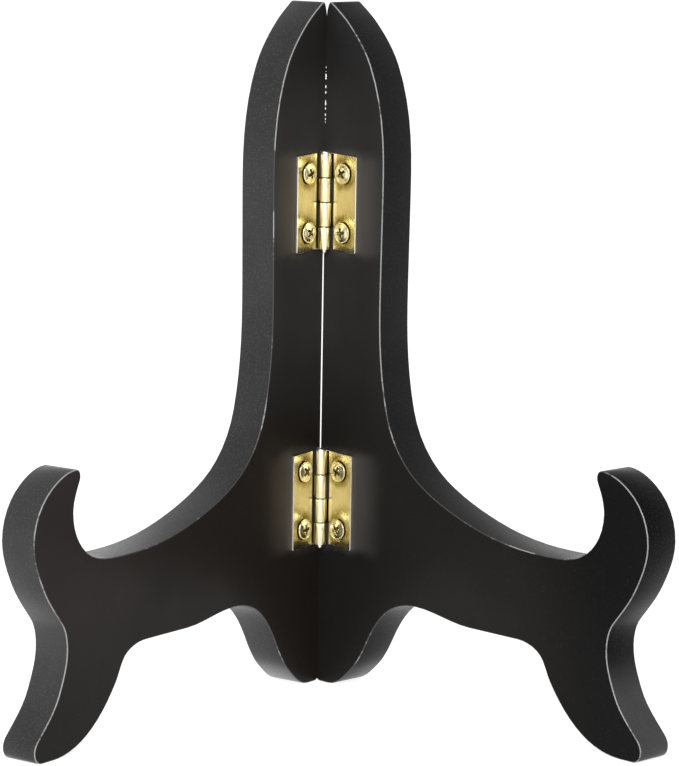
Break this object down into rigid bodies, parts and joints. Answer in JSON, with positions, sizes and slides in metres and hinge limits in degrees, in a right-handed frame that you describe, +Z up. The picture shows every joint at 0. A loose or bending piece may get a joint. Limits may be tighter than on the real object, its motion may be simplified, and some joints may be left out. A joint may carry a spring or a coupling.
{
  "type": "folding plate stand",
  "caption": "Small folding display easel: mirror-image black-painted cut-out boards, each with a curled plate hook and a foot, joined down the back by brass butt hinges.",
  "frame": {"origin": "on the table plane, under the middle of the stand's bounding box as it stands open", "axes": "+Z up; X runs from the left board to the right board as seen from the open mouth, and the plane X = 0 lies midway between the boards; -Y points out of the mouth, towards the plate and the viewer; the seam and the hinges are at the back, on the +Y side"},
  "size_m": [0.1588, 0.0918, 0.175],
  "materials": {
    "painted_board": "satin black paint over sanded wood, edges thinner and rubbed grey",
    "hinge_brass": "brushed pale brass plating",
    "pin_brass": "satin brass plating",
    "screw_brass": "polished pale brass plating"
  },
  "bodies": {
    "left": {"left_board": "painted_board", "upper_hinge_left_leaf": "hinge_brass", "lower_hinge_left_leaf": "hinge_brass", "upper_hinge_pin": "pin_brass", "lower_hinge_pin": "pin_brass", "upper_left_top_screw": "screw_brass", "upper_left_bottom_screw": "screw_brass", "lower_left_top_screw": "screw_brass", "lower_left_bottom_screw": "screw_brass"},
    "right": {"right_board": "painted_board", "upper_hinge_right_leaf": "hinge_brass", "lower_hinge_right_leaf": "hinge_brass", "upper_right_top_screw": "screw_brass", "upper_right_bottom_screw": "screw_brass", "lower_right_top_screw": "screw_brass", "lower_right_bottom_screw": "screw_brass"}
  },
  "joints": [
    {"name": "fold", "type": "hinge", "parent": "left", "child": "right", "pos_m": [0, 0.03682, 0.0861], "axis": [0, 0, -1], "range_deg": [0, 80]}
  ]
}
